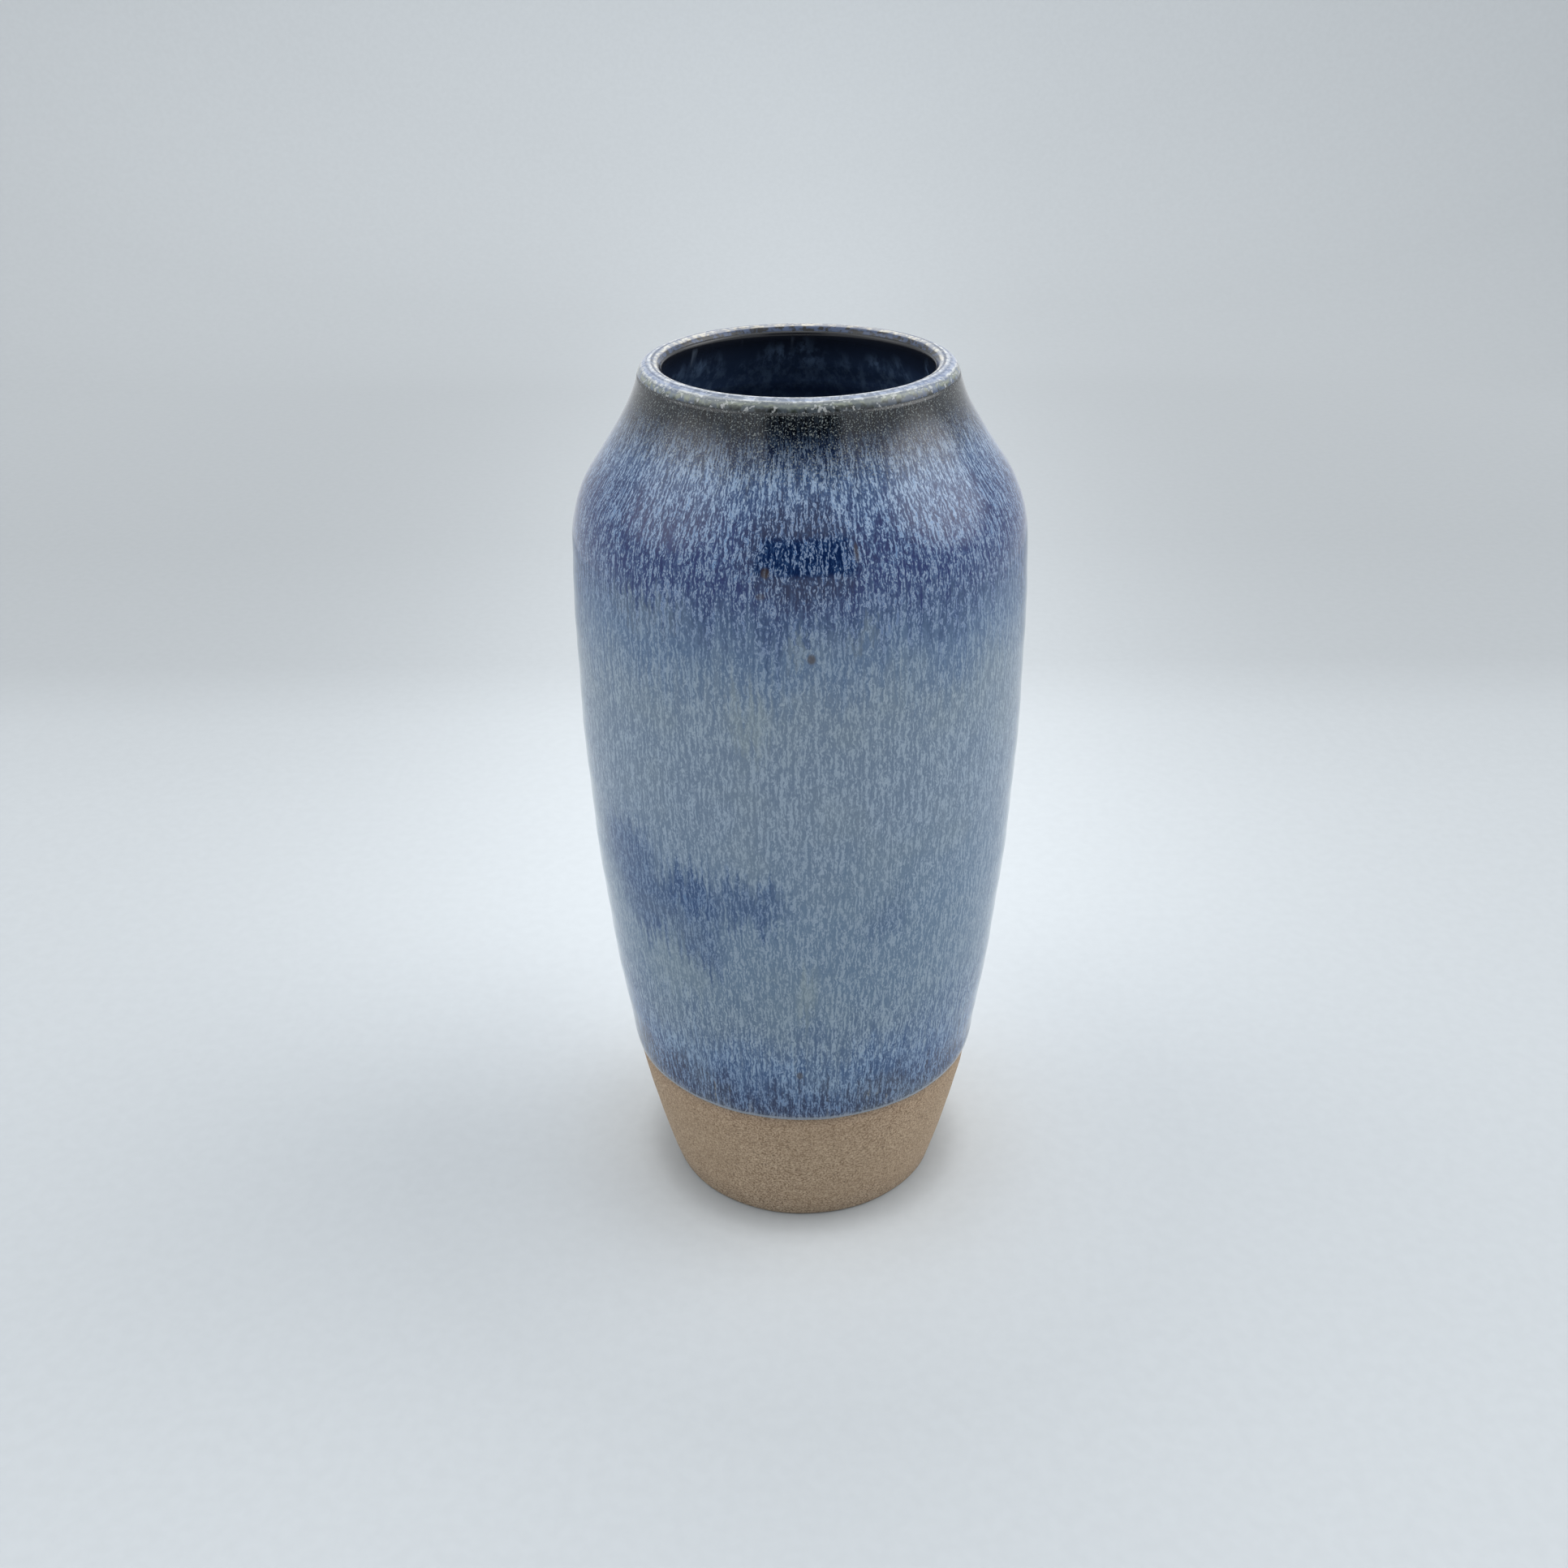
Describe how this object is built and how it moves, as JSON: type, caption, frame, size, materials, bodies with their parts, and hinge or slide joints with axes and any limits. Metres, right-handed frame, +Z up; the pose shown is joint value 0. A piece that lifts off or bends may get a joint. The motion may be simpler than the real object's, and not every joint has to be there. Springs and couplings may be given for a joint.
{
  "type": "vase",
  "caption": "Tall stoneware vase: rounded shoulder, short collar, open mouth with a rounded lip, glazed inside and out above a bare clay foot.",
  "frame": {"origin": "centre of the foot, on the surface that the vase stands on", "axes": "+Z up the axis of the pot; the vase is a turned form, so X and Y are interchangeable"},
  "size_m": [0.1226, 0.1226, 0.25],
  "materials": {
    "bare_clay": "matte",
    "blue_glaze": "gloss",
    "pale_glaze": "gloss",
    "navy_glaze": "gloss"
  },
  "bodies": {
    "root": {"clay_body": "bare_clay", "outer_glaze": "blue_glaze", "rim_glaze": "pale_glaze", "liner_glaze": "navy_glaze"}
  },
  "joints": []
}
